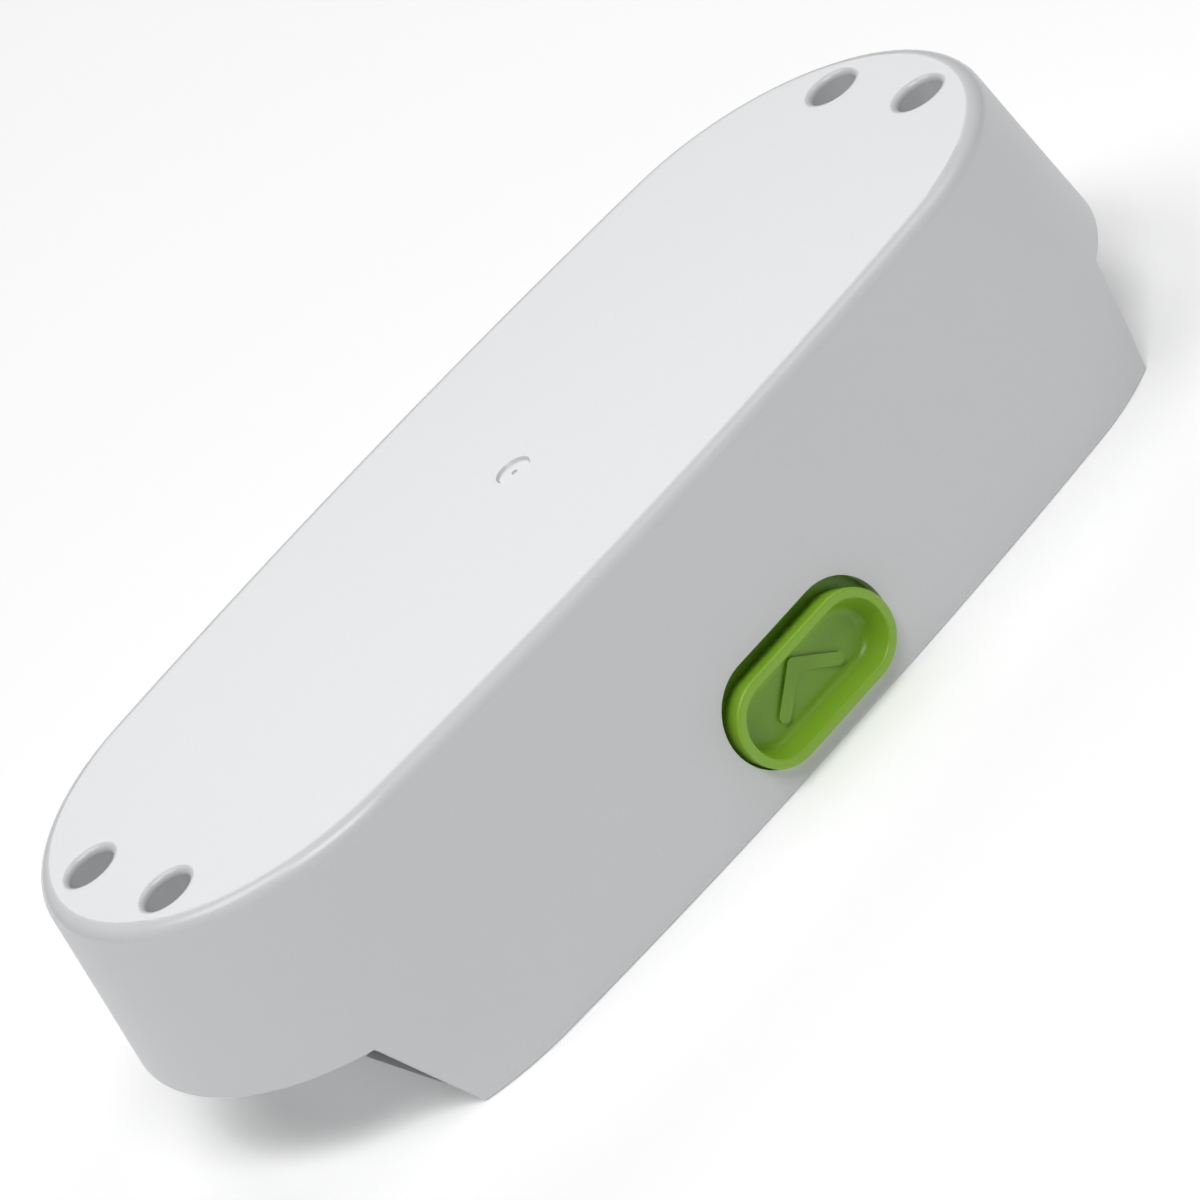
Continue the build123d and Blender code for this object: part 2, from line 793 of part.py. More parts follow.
def make_current_shunt():
    length, width, height = shunt_size
    under = (length - 2 * shunt_foot, 2 * width, shunt_clearance)
    return on_board(shunt_size, *shunt_place) - on_board(under, *shunt_place)


def make_main_fuse():
    return on_board(fuse_size, *fuse_place) + on_board(fuse_caps, *fuse_place)


def make_balance_header():
    x, y = header_place
    length, width, depth = header_pocket
    shell = on_board((*header_size, header_height), x, y)
    return shell - Pos(x, y, board_top + header_height) * Box(length, width, 2 * depth)


def make_thermistor():
    # its bead sits under the middle of a cell, on two legs from the board
    middle = cell_z - cell_diameter / 2 - bead_gap - bead_diameter / 2
    x = cell_pitch
    bead = Pos(x, bead_y, middle) * Sphere(bead_diameter / 2)
    for side in (-1, 1):
        bead += rod_z(bead_lead, x + side * bead_lead_pitch / 2, bead_y, board_top, middle)
    return bead


def make_power_lead(side):
    # from the tail of the last cell's strip to a pad on the end of the board
    x = side * cell_x(cell_count - 1)
    start = -side * (holder_out - 0.2)
    high = cell_z - link_tail + lead_above_tail
    low = board_top + lead_diameter / 2
    pad = cell_x(cell_count - 1) - lead_bend
    route = [
        (x, start, high),
        (x, -side * lead_turn_y, high),
        (side * pad, 0, low),
        (side * (pad - lead_run), 0, low),
    ]
    path = FilletPolyline(*route, radius=lead_bend_radius)
    section = Plane(origin=path @ 0, z_dir=path % 0) * Circle(lead_diameter / 2)
    return sweep(section, path=path)


def make_sense_strip():
    # flat flexible circuit from the front links down to the header on the board
    out = -holder_out - link_thickness - sheet_gap - sheet_thickness - 0.1
    high = cell_z - 4
    turn = board_top + header_height + 0.4
    end = header_place[1] + header_pocket[1] / 2
    t = sense_thickness
    points = [
        (out, high), (out - t, high), (out - t, turn - t), (end, turn - t), (end, turn), (out, turn),
    ]
    return Pos(sense_x, 0, 0) * prism_yz(points, sense_width / 2)


def contact_places():
    return (-contact_pitch, 0, contact_pitch)


def make_contact_block():
    nose_low = saddle_rise + 0.4
    body = box_between(
        (-window_length / 2 + block_gap, -window_width / 2 + block_gap, nose_low),
        (window_length / 2 - block_gap, window_width / 2 - block_gap, block_top),
    )
    body += box_between(
        (-block_flange_length / 2, -block_flange_width / 2, block_flange_z),
        (block_flange_length / 2, block_flange_width / 2, block_flange_z + block_flange),
    )
    half = recess_length / 2
    body -= box_between((-half, -recess_width / 2, 0), (half, recess_width / 2, recess_top))
    for x in contact_places():
        body -= box_between(
            (x - stem_width / 2 - stem_gap, -contact_thickness / 2 - stem_gap, 0),
            (x + stem_width / 2 + stem_gap, contact_thickness / 2 + stem_gap, case_height),
        )
    for x in (-contact_screw_x, contact_screw_x):
        body -= rod_z(board_screw + 4 * pilot_gap, x, 0, 0, case_height)
    return body


def make_contact(x):
    pad_low = recess_top - contact_thickness
    pad = box_between((x - contact_width / 2, -contact_reach / 2, pad_low),
                      (x + contact_width / 2, contact_reach / 2, recess_top))
    pad = fillet(pad.edges().filter_by(Axis.Z), contact_corner)
    stem = box_between(
        (x - stem_width / 2, -contact_thickness / 2, pad_low),
        (x + stem_width / 2, contact_thickness / 2, board_top + stem_above_board),
    )
    return pad + stem


def make_contact_screws():
    screws = []
    for x in (-contact_screw_x, contact_screw_x):
        high = block_flange_z + block_flange
        screws.append(
            rod_z(board_screw_head, x, 0, high, high + board_screw_head_height)
            + rod_z(board_screw, x, 0, saddle_rise + base_wall + 0.3, high + 0.1)
        )
    return screws


def make_case_screws():
    screws = []
    for x, y in corners(well_x, well_y):
        head = rod_z(head_diameter, x, y, well_floor_top, well_floor_top + head_height)
        head = fillet(head.edges().sort_by(Axis.Z)[-1:], head_round)
        hexagon = Pos(x, y, well_floor_top + head_height - socket_depth) * RegularPolygon(socket_radius, 6)
        socket = extrude(hexagon, amount=2 * socket_depth)
        shank = rod_z(screw_diameter, x, y, well_floor_top - screw_length, well_floor_top + 0.1)
        screws.append(head - socket + shank)
    return screws


def make_threaded_inserts():
    top = well_floor_top - well_floor
    bore = screw_diameter + 2 * pilot_gap
    return [
        rod_z(insert_diameter, x, y, top - insert_length, top) - rod_z(bore, x, y, 0, case_height)
        for x, y in corners(well_x, well_y)
    ]


def make_vent_plug():
    plug = rod_z(vent_bore, -vent_x, 0, plate_z - vent_edge, plate_z + base_wall + vent_barb)
    cap = rod_z(vent_flange, -vent_x, 0, plate_z - vent_flange_thickness, plate_z)
    plug += chamfer(cap.edges().sort_by(Axis.Z)[:1], vent_edge)
    for angle in (0, 60, 120):
        plug -= Pos(-vent_x, 0, plate_z - vent_flange_thickness) * Rot(0, 0, angle) * Box(*vent_slot)
    return plug


def make_rating_label():
    low = (label_x - label_length / 2, -label_width / 2, plate_z - label_thickness)
    label = box_between(low, (label_x + label_length / 2, label_width / 2, plate_z))
    return fillet(label.edges().filter_by(Axis.Z), label_corner)


nodes = {
    "housing_shell": make_housing_shell(),
    "base_cover": make_base_cover(),
    "foam_pad": make_foam_pad(),
    "bms_board": make_bms_board(),
    "board_screws": make_board_screws(),
    "power_transistors": make_power_transistors(),
    "heat_spreader": make_heat_spreader(),
    "controller_chip": make_controller_chip(),
    "capacitors": make_capacitors(),
    "current_shunt": make_current_shunt(),
    "main_fuse": make_main_fuse(),
    "balance_header": make_balance_header(),
    "thermistor": make_thermistor(),
    "power_lead_positive": make_power_lead(1),
    "power_lead_negative": make_power_lead(-1),
    "sense_strip": make_sense_strip(),
    "contact_block": make_contact_block(),
    "contact_negative": make_contact(-contact_pitch),
    "contact_data": make_contact(0),
    "contact_positive": make_contact(contact_pitch),
    "contact_screws": make_contact_screws(),
    "case_screws": make_case_screws(),
    "threaded_inserts": make_threaded_inserts(),
    "vent_plug": make_vent_plug(),
    "rating_label": make_rating_label(),
}
for number in range(cell_count):
    nodes[f"cell_{number + 1}"] = make_cell(number)
paired = {
    "release_slider": make_release_slider(),
    "slider_guide": make_slider_guide(),
    "slider_spring": make_slider_spring(),
    "guide_screws": make_guide_screws(),
    "latch_lever": make_latch_lever(),
    "latch_pin": make_latch_pin(),
    "cell_holder": make_cell_holder(),
    "nickel_links": make_nickel_links(),
    "insulating_sheet": make_insulating_sheet(),
}
for name, piece in paired.items():
    nodes[name + "_front"] = piece
    nodes[name + "_rear"] = [turned(p) for p in piece] if isinstance(piece, list) else turned(piece)

os.makedirs("parts", exist_ok=True)
for name, piece in nodes.items():
    shape = Compound(piece) if isinstance(piece, list) else piece
    export_step(shape, f"parts/{name}.step")
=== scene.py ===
from math import cos, radians, sin
import bpy
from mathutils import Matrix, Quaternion, Vector


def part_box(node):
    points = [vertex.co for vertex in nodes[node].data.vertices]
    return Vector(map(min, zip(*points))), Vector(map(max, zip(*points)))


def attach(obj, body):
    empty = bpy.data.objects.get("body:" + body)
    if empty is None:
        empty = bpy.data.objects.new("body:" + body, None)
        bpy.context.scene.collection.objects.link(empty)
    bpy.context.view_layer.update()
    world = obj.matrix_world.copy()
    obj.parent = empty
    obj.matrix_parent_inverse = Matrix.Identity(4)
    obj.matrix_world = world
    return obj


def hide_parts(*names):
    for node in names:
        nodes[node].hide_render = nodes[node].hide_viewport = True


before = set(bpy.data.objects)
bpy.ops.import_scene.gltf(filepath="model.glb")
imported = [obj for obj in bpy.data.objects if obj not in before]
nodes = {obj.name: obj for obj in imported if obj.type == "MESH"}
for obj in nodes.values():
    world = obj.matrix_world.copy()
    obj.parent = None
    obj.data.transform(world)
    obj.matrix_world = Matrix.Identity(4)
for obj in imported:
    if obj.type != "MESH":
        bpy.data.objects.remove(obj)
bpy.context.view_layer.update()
mm = 0.001
print("frame loaded:", len(nodes), "nodes")


# camera: a long lens that looks down on the front wall from its left, tilted so that the case climbs
# to the right
view = {
    "azimuth": -22.66,
    "elevation": 27.17,
    "roll": -36.27,
    "target": (-0.0056, -0.0105, 0.0283),
    "distance": 0.9668,
    "lens": 174.74,
    "sensor": 36.0,
    "clipStart": 0.01,
}


def addCamera():
    turn = radians(view["azimuth"])
    lift = radians(view["elevation"])
    away = Vector((sin(turn) * cos(lift), -cos(turn) * cos(lift), sin(lift)))
    data = bpy.data.cameras.new("camera")
    data.lens = view["lens"]
    data.sensor_width = view["sensor"]
    data.clip_start = view["clipStart"]
    camera = bpy.data.objects.new("camera", data)
    bpy.context.scene.collection.objects.link(camera)
    camera.location = Vector(view["target"]) + away * view["distance"]
    aim = away.to_track_quat("Z", "Y") @ Quaternion((0, 0, 1), radians(view["roll"]))
    camera.rotation_mode = "QUATERNION"
    camera.rotation_quaternion = aim
    bpy.context.scene.camera = camera


addCamera()
print("camera placed")


# small helpers for node trees

def put(tree, kind, options=None, values=None, links=None):
    node = tree.nodes.new(kind)
    for name, value in (options or {}).items():
        setattr(node, name, value)
    for name, value in (values or {}).items():
        node.inputs[name].default_value = value
    for name, source in (links or {}).items():
        tree.links.new(source, node.inputs[name])
    return node


def newGroup(name, inputs, outputs):
    group = bpy.data.node_groups.new(name, "ShaderNodeTree")
    for label, kind, value in inputs:
        socket = group.interface.new_socket(label, in_out="INPUT", socket_type="NodeSocket" + kind)
        socket.default_value = value
    for label, kind in outputs:
        group.interface.new_socket(label, in_out="OUTPUT", socket_type="NodeSocket" + kind)
    start = group.nodes.new("NodeGroupInput")
    end = group.nodes.new("NodeGroupOutput")
    return group, start.outputs, end.inputs


def objectPoint(tree):
    return put(tree, "ShaderNodeTexCoord").outputs["Object"]


def noise(tree, scale, detail=2.0, point=None, roughness=0.5):
    links = {"Vector": point or objectPoint(tree)}
    values = {"Detail": detail, "Roughness": roughness}
    if isinstance(scale, (int, float)):
        values["Scale"] = scale
    else:
        links["Scale"] = scale
    return put(tree, "ShaderNodeTexNoise", values=values, links=links).outputs["Fac"]


def calc(tree, operation, first, second=None, clamp=False):
    node = put(tree, "ShaderNodeMath", {"operation": operation, "use_clamp": clamp})
    for place, value in enumerate((first, second)):
        if value is None:
            continue
        if isinstance(value, (int, float)):
            node.inputs[place].default_value = value
        else:
            tree.links.new(value, node.inputs[place])
    return node.outputs[0]


def spread(tree, value, low, high, fromLow=0.0, fromHigh=1.0):
    node = put(tree, "ShaderNodeMapRange", values={"From Min": fromLow, "From Max": fromHigh},
               links={"Value": value})
    for name, end in (("To Min", low), ("To Max", high)):
        if isinstance(end, (int, float)):
            node.inputs[name].default_value = end
        else:
            tree.links.new(end, node.inputs[name])
    return node.outputs["Result"]


def blendColour(tree, share, first, second):
    node = put(tree, "ShaderNodeMix", {"data_type": "RGBA"})
    tree.links.new(share, node.inputs["Factor"])
    for name, colour in (("A", first), ("B", second)):
        socket = [s for s in node.inputs if s.name == name and s.type == "RGBA"][0]
        if isinstance(colour, tuple):
            socket.default_value = (*colour, 1.0)
        else:
            tree.links.new(colour, socket)
    return [s for s in node.outputs if s.type == "RGBA"][0]


# finishes that several materials share; each range says which part of its input is stretched to full contrast

finish = {
    "broadGrain": 0.31,
    "fleckRange": (0.3, 0.7),
    "cloudRange": (0.2, 0.8),
    "bendRange": (0.78, 0.99),
    "patchRange": (0.35, 0.65),
    "patchLeast": 0.35,
    "upwardRange": (0.3, 1.0),
    "dustRange": (0.45, 0.75),
    "streakRange": (0.35, 0.65),
}


def makeMouldGrain():
    group, start, end = newGroup(
        "mouldGrain",
        [("Scale", "Float", 2000.0), ("Coarse", "Float", 0.35)],
        [("Height", "Float"), ("Fleck", "Float")],
    )
    fine = noise(group, start["Scale"], detail=2.0)
    broad = noise(group, calc(group, "MULTIPLY", start["Scale"], finish["broadGrain"]), detail=1.0)
    share = put(group, "ShaderNodeMix", {"data_type": "FLOAT"},
                links={"Factor": start["Coarse"], "A": fine, "B": broad}).outputs[0]
    group.links.new(share, end["Height"])
    group.links.new(spread(group, fine, 0.0, 1.0, *finish["fleckRange"]), end["Fleck"])
    return group


def makeMottle():
    group, start, end = newGroup(
        "mottle",
        [("Scale", "Float", 40.0), ("Low", "Float", 0.0), ("High", "Float", 1.0)],
        [("Value", "Float")],
    )
    cloud = noise(group, start["Scale"], detail=2.0)
    value = spread(group, cloud, start["Low"], start["High"], *finish["cloudRange"])
    group.links.new(value, end["Value"])
    return group


def makeEdgeWear():
    group, start, end = newGroup(
        "edgeWear",
        [("Radius", "Float", 0.0004), ("Amount", "Float", 1.0), ("Break Up", "Float", 900.0)],
        [("Mask", "Float")],
    )
    soft = put(group, "ShaderNodeBevel", {"samples": 4}, links={"Radius": start["Radius"]})
    plain = put(group, "ShaderNodeNewGeometry").outputs["Normal"]
    facing = put(group, "ShaderNodeVectorMath", {"operation": "DOT_PRODUCT"})
    group.links.new(soft.outputs["Normal"], facing.inputs[0])
    group.links.new(plain, facing.inputs[1])
    turned = spread(group, facing.outputs["Value"], 1.0, 0.0, *finish["bendRange"])
    cloud = noise(group, start["Break Up"], detail=4.0)
    patchy = spread(group, cloud, finish["patchLeast"], 1.0, *finish["patchRange"])
    rubbed = calc(group, "MULTIPLY", turned, patchy)
    group.links.new(calc(group, "MULTIPLY", rubbed, start["Amount"], clamp=True), end["Mask"])
    return group


def makeDust():
    group, start, end = newGroup(
        "restingDust",
        [("Amount", "Float", 0.1), ("Scale", "Float", 300.0)],
        [("Mask", "Float")],
    )
    normal = put(group, "ShaderNodeNewGeometry").outputs["Normal"]
    upward = put(group, "ShaderNodeSeparateXYZ", links={"Vector": normal}).outputs["Z"]
    flat = spread(group, upward, 0.0, 1.0, *finish["upwardRange"])
    cloud = noise(group, start["Scale"], detail=5.0, roughness=0.7)
    grains = spread(group, cloud, 0.0, 1.0, *finish["dustRange"])
    lying = calc(group, "MULTIPLY", flat, grains)
    group.links.new(calc(group, "MULTIPLY", lying, start["Amount"], clamp=True), end["Mask"])
    return group


def makeToolLines():
    group, start, end = newGroup(
        "toolLines",
        [("Stretch", "Vector", (1.0, 40.0, 40.0)), ("Scale", "Float", 200.0)],
        [("Height", "Float"), ("Streak", "Float")],
    )
    drawn = put(group, "ShaderNodeVectorMath", {"operation": "MULTIPLY"})
    group.links.new(objectPoint(group), drawn.inputs[0])
    group.links.new(start["Stretch"], drawn.inputs[1])
    lines = noise(group, start["Scale"], detail=3.0, point=drawn.outputs["Vector"])
    group.links.new(lines, end["Height"])
    group.links.new(spread(group, lines, 0.0, 1.0, *finish["streakRange"]), end["Streak"])
    return group


grainGroup = makeMouldGrain()
mottleGroup = makeMottle()
wearGroup = makeEdgeWear()
dustGroup = makeDust()
linesGroup = makeToolLines()


def useGroup(tree, group, **values):
    node = tree.nodes.new("ShaderNodeGroup")
    node.node_tree = group
    for name, value in values.items():
        node.inputs[name].default_value = value
    return node


def newMaterial(name, fixed):
    paint = bpy.data.materials.new(name)
    paint.use_nodes = True
    shader = paint.node_tree.nodes["Principled BSDF"]
    for label, value in fixed.items():
        shader.inputs[label].default_value = value
    return paint, paint.node_tree, shader


def join(tree, source, shader, label):
    tree.links.new(source, shader.inputs[label])


def addBump(tree, shader, height, depth, strength=1.0):
    node = put(tree, "ShaderNodeBump", values={"Distance": depth, "Strength": strength},
               links={"Height": height})
    join(tree, node.outputs["Normal"], shader, "Normal")


print("shared finishes made")


# outer case

casePlastic = {
    "body": (0.690, 0.700, 0.712),
    "pale": (0.712, 0.722, 0.735),
    "rubbed": (0.76, 0.77, 0.78),
    "grainScale": 2600.0,
    "grainDepth": 0.012 * mm,
    "smoothAbove": 50.4 * mm,
    "grainBelow": 48.4 * mm,
    "faceGrain": 0.25,
    "faceRoughness": 0.24,
    "wallRoughness": 0.36,
    "patchy": 0.012,
    "mottleScale": 35.0,
    "mottleShare": 0.4,
    "fleckShare": 0.6,
    "wearRadius": 0.35 * mm,
    "wear": 0.25,
}


def makeCasePlastic(name, spec):
    paint, tree, shader = newMaterial(name, {"IOR": 1.49, "Specular IOR Level": 0.5})
    height = put(tree, "ShaderNodeSeparateXYZ", links={"Vector": objectPoint(tree)}).outputs["Z"]
    onWall = spread(tree, height, 1.0, 0.0, spec["grainBelow"], spec["smoothAbove"])
    grain = useGroup(tree, grainGroup, Scale=spec["grainScale"])
    mottle = useGroup(tree, mottleGroup, Scale=spec["mottleScale"])
    wear = useGroup(tree, wearGroup, Radius=spec["wearRadius"], Amount=spec["wear"])
    tone = calc(tree, "ADD", calc(tree, "MULTIPLY", mottle.outputs["Value"], spec["mottleShare"]),
                calc(tree, "MULTIPLY", grain.outputs["Fleck"], spec["fleckShare"]))
    plain = blendColour(tree, tone, spec["body"], spec["pale"])
    join(tree, blendColour(tree, wear.outputs["Mask"], plain, spec["rubbed"]), shader, "Base Color")
    sheen = spread(tree, onWall, spec["faceRoughness"], spec["wallRoughness"])
    patches = calc(tree, "MULTIPLY", mottle.outputs["Value"], spec["patchy"])
    join(tree, calc(tree, "ADD", sheen, patches), shader, "Roughness")
    amount = spread(tree, onWall, spec["faceGrain"], 1.0)
    addBump(tree, shader, calc(tree, "MULTIPLY", grain.outputs["Height"], amount), spec["grainDepth"])
    return paint


# the base cover is grained all over: its smooth heights lie far above it. Painted shade: its body and pale
# colours are the case white darkened, standing in for shade on the same white plastic
coverPlasticShaded = {
    **casePlastic,
    "body": (0.60, 0.61, 0.62),
    "pale": (0.63, 0.64, 0.65),
    "smoothAbove": 1.0,
    "grainBelow": 0.5,
}


# plain moulded plastics: one recipe, its own numbers for each

mouldedShared = {
    "mottleScale": 90.0,
    "wearRadius": 0.25 * mm,
    "dustScale": 700.0,
    "dustColour": (0.55, 0.53, 0.50),
    "smoother": 0.04,
    "rougher": 0.05,
}


def makeMoulded(name, body, pale, roughness, grainScale, grainDepth, wear=0.3, rubbed=None, dust=0.0):
    shared = mouldedShared
    paint, tree, shader = newMaterial(name, {"IOR": 1.5})
    grain = useGroup(tree, grainGroup, Scale=grainScale)
    mottle = useGroup(tree, mottleGroup, Scale=shared["mottleScale"])
    edge = useGroup(tree, wearGroup, Radius=shared["wearRadius"], Amount=wear)
    tone = calc(tree, "ADD", calc(tree, "MULTIPLY", mottle.outputs["Value"], 0.5),
                calc(tree, "MULTIPLY", grain.outputs["Fleck"], 0.5))    # half and half
    colour = blendColour(tree, tone, body, pale)
    colour = blendColour(tree, edge.outputs["Mask"], colour, rubbed or pale)
    if dust:
        lying = useGroup(tree, dustGroup, Amount=dust, Scale=shared["dustScale"])
        colour = blendColour(tree, lying.outputs["Mask"], colour, shared["dustColour"])
    join(tree, colour, shader, "Base Color")
    low = roughness - shared["smoother"]
    high = roughness + shared["rougher"]
    dull = spread(tree, mottle.outputs["Value"], low, high)
    join(tree, dull, shader, "Roughness")
    addBump(tree, shader, grain.outputs["Height"], grainDepth)
    return paint


releaseGreen = {
    "body": (0.235, 0.440, 0.030),
    "pale": (0.275, 0.500, 0.036),
    "rubbed": (0.42, 0.66, 0.10),
    "roughness": 0.33,
    "grainScale": 3000.0,
    "grainDepth": 0.010 * mm,
    "wear": 0.55,
}

mouldedParts = {
    "release_green": releaseGreen,
    "dark_plastic": {"body": (0.020, 0.021, 0.023), "pale": (0.032, 0.033, 0.035), "roughness": 0.46,
                     "grainScale": 2400.0, "grainDepth": 0.012 * mm, "rubbed": (0.09, 0.09, 0.09)},
    "latch_plastic": {"body": (0.055, 0.057, 0.060), "pale": (0.075, 0.077, 0.080), "roughness": 0.38,
                      "grainScale": 2000.0, "grainDepth": 0.010 * mm, "rubbed": (0.16, 0.16, 0.16)},
    "holder_plastic": {"body": (0.030, 0.031, 0.033), "pale": (0.045, 0.046, 0.048), "roughness": 0.5,
                       "grainScale": 1800.0, "grainDepth": 0.016 * mm, "dust": 0.15},
    "header_plastic": {"body": (0.72, 0.68, 0.56), "pale": (0.80, 0.77, 0.66), "roughness": 0.42,
                       "grainScale": 2600.0, "grainDepth": 0.006 * mm, "wear": 0.15},
    "component_black": {"body": (0.014, 0.014, 0.015), "pale": (0.026, 0.026, 0.028), "roughness": 0.55,
                        "grainScale": 4200.0, "grainDepth": 0.010 * mm, "wear": 0.2, "dust": 0.1},
    "fuse_ceramic": {"body": (0.66, 0.63, 0.58), "pale": (0.76, 0.74, 0.70), "roughness": 0.6,
                     "grainScale": 3600.0, "grainDepth": 0.014 * mm, "wear": 0.2},
    "lead_red": {"body": (0.40, 0.012, 0.010), "pale": (0.50, 0.020, 0.016), "roughness": 0.34,
                 "grainScale": 1500.0, "grainDepth": 0.008 * mm, "wear": 0.0},
    "lead_black": {"body": (0.012, 0.012, 0.013), "pale": (0.022, 0.022, 0.024), "roughness": 0.36,
                   "grainScale": 1500.0, "grainDepth": 0.008 * mm, "wear": 0.0},
}


# metals

metalShared = {
    "mottleScale": 160.0,
    "wearRadius": 0.15 * mm,
    "stainShare": 0.45,
    "smoother": 0.05,
    "rougher": 0.06,
    "cloudShare": 0.08,
}


def makeMetal(name, body, pale, roughness, stretch, scale, depth, wear=0.4, stain=None):
    shared = metalShared
    paint, tree, shader = newMaterial(name, {"Metallic": 1.0})
    lines = useGroup(tree, linesGroup, Stretch=stretch, Scale=scale)
    mottle = useGroup(tree, mottleGroup, Scale=shared["mottleScale"])
    edge = useGroup(tree, wearGroup, Radius=shared["wearRadius"], Amount=wear)
    colour = blendColour(tree, lines.outputs["Streak"], body, pale)
    if stain:
        share = calc(tree, "MULTIPLY", mottle.outputs["Value"], shared["stainShare"])
        colour = blendColour(tree, share, colour, stain)
    join(tree, blendColour(tree, edge.outputs["Mask"], colour, pale), shader, "Base Color")
    low = roughness - shared["smoother"]
    high = roughness + shared["rougher"]
    drawn = spread(tree, lines.outputs["Streak"], low, high)
    cloudy = calc(tree, "MULTIPLY", mottle.outputs["Value"], shared["cloudShare"])
    join(tree, calc(tree, "ADD", drawn, cloudy), shader, "Roughness")
    addBump(tree, shader, lines.outputs["Height"], depth)
    return paint


# which way each metal's drawing or rolling lines run
alongX = (1.0, 30.0, 30.0)
alongY = (30.0, 1.0, 30.0)
alongZ = (30.0, 30.0, 1.0)
evenly = (8.0, 8.0, 8.0)

metalParts = {
    "contact_brass": {"body": (0.62, 0.45, 0.20), "pale": (0.80, 0.62, 0.32), "roughness": 0.26,
                      "stretch": alongY, "scale": 160.0, "depth": 0.004 * mm, "stain": (0.36, 0.24, 0.12)},
    "insert_brass": {"body": (0.56, 0.40, 0.17), "pale": (0.74, 0.57, 0.28), "roughness": 0.32,
                     "stretch": alongZ, "scale": 200.0, "depth": 0.006 * mm, "stain": (0.34, 0.23, 0.11)},
    "screw_steel": {"body": (0.36, 0.37, 0.38), "pale": (0.56, 0.57, 0.58), "roughness": 0.30,
                    "stretch": evenly, "scale": 220.0, "depth": 0.005 * mm, "stain": (0.22, 0.22, 0.23)},
    "pin_steel": {"body": (0.45, 0.46, 0.47), "pale": (0.66, 0.67, 0.68), "roughness": 0.20,
                  "stretch": alongX, "scale": 260.0, "depth": 0.003 * mm},
    "spring_steel": {"body": (0.34, 0.34, 0.35), "pale": (0.52, 0.52, 0.53), "roughness": 0.28,
                     "stretch": evenly, "scale": 260.0, "depth": 0.004 * mm, "stain": (0.20, 0.17, 0.14)},
    "plain_aluminium": {"body": (0.62, 0.63, 0.64), "pale": (0.76, 0.77, 0.78), "roughness": 0.34,
                        "stretch": alongX, "scale": 200.0, "depth": 0.008 * mm},
    "capacitor_can": {"body": (0.58, 0.59, 0.61), "pale": (0.74, 0.75, 0.77), "roughness": 0.28,
                      "stretch": alongZ, "scale": 200.0, "depth": 0.004 * mm},
    "shunt_metal": {"body": (0.45, 0.38, 0.32), "pale": (0.60, 0.52, 0.45), "roughness": 0.34,
                    "stretch": alongX, "scale": 220.0, "depth": 0.006 * mm, "stain": (0.28, 0.20, 0.15)},
    "nickel": {"body": (0.52, 0.51, 0.48), "pale": (0.68, 0.67, 0.63), "roughness": 0.26,
               "stretch": alongX, "scale": 240.0, "depth": 0.004 * mm, "stain": (0.38, 0.36, 0.31)},
}


# films, boards and sheets

circuitBoard = {
    "mask": (0.012, 0.085, 0.040),
    "track": (0.020, 0.140, 0.062),
    "trackPitch": 260.0,
    "depth": 0.03 * mm,
    "bumpStrength": 0.6,
    "gap": 0.12,
    "gapSoftness": 0.2,
    "faintTrack": (0.25, 0.25, 0.25, 1),
    "mottleScale": 120.0,
    "mottleLow": 0.6,
    "smoothest": 0.28,
    "roughest": 0.42,
}


def makeCircuitBoard(name, spec):
    paint, tree, shader = newMaterial(name, {"Coat Weight": 0.5, "Coat Roughness": 0.18})
    grid = put(tree, "ShaderNodeTexBrick", {"offset": 0.37, "squash": 0.6, "squash_frequency": 3},
               {"Scale": spec["trackPitch"], "Mortar Size": spec["gap"], "Mortar Smooth": spec["gapSoftness"],
                "Color1": (1, 1, 1, 1), "Color2": spec["faintTrack"], "Mortar": (0, 0, 0, 1)},
               {"Vector": objectPoint(tree)}).outputs["Color"]
    mottle = useGroup(tree, mottleGroup, Scale=spec["mottleScale"])
    tone = calc(tree, "MULTIPLY", grid, spread(tree, mottle.outputs["Value"], spec["mottleLow"], 1.0))
    join(tree, blendColour(tree, tone, spec["mask"], spec["track"]), shader, "Base Color")
    dull = spread(tree, mottle.outputs["Value"], spec["smoothest"], spec["roughest"])
    join(tree, dull, shader, "Roughness")
    addBump(tree, shader, grid, spec["depth"], spec["bumpStrength"])
    return paint


cellSleeve = {"body": (0.030, 0.110, 0.200), "pale": (0.045, 0.145, 0.250), "roughness": 0.24,
              "grainScale": 900.0, "grainDepth": 0.010 * mm, "wear": 0.2}
fibreSheet = {"body": (0.42, 0.33, 0.18), "pale": (0.54, 0.44, 0.27), "roughness": 0.72,
              "grainScale": 1500.0, "grainDepth": 0.03 * mm, "wear": 0.1}
flexCircuit = {"body": (0.44, 0.20, 0.035), "pale": (0.56, 0.28, 0.055), "roughness": 0.30,
               "grainScale": 700.0, "grainDepth": 0.012 * mm, "wear": 0.0}
labelFilm = {"body": (0.50, 0.51, 0.52), "pale": (0.56, 0.57, 0.58), "roughness": 0.30,
             "grainScale": 1200.0, "grainDepth": 0.003 * mm, "wear": 0.15}
mouldedParts.update({"cell_sleeve": cellSleeve, "fibre_sheet": fibreSheet, "flex_circuit": flexCircuit,
                     "label_film": labelFilm})

foamPad = {
    "body": (0.060, 0.061, 0.064),
    # painted shade: the darker colour given to the pits of the pores, for the shade inside them
    "poreShade": (0.016, 0.016, 0.017),
    "poreScale": 1400.0,
    "poreDepth": 0.12 * mm,
    "poreSoftness": 0.3,
    "poreShare": 0.6,
    "bumpStrength": 0.7,
    "mottleScale": 200.0,
    "mottleLow": 0.7,
}


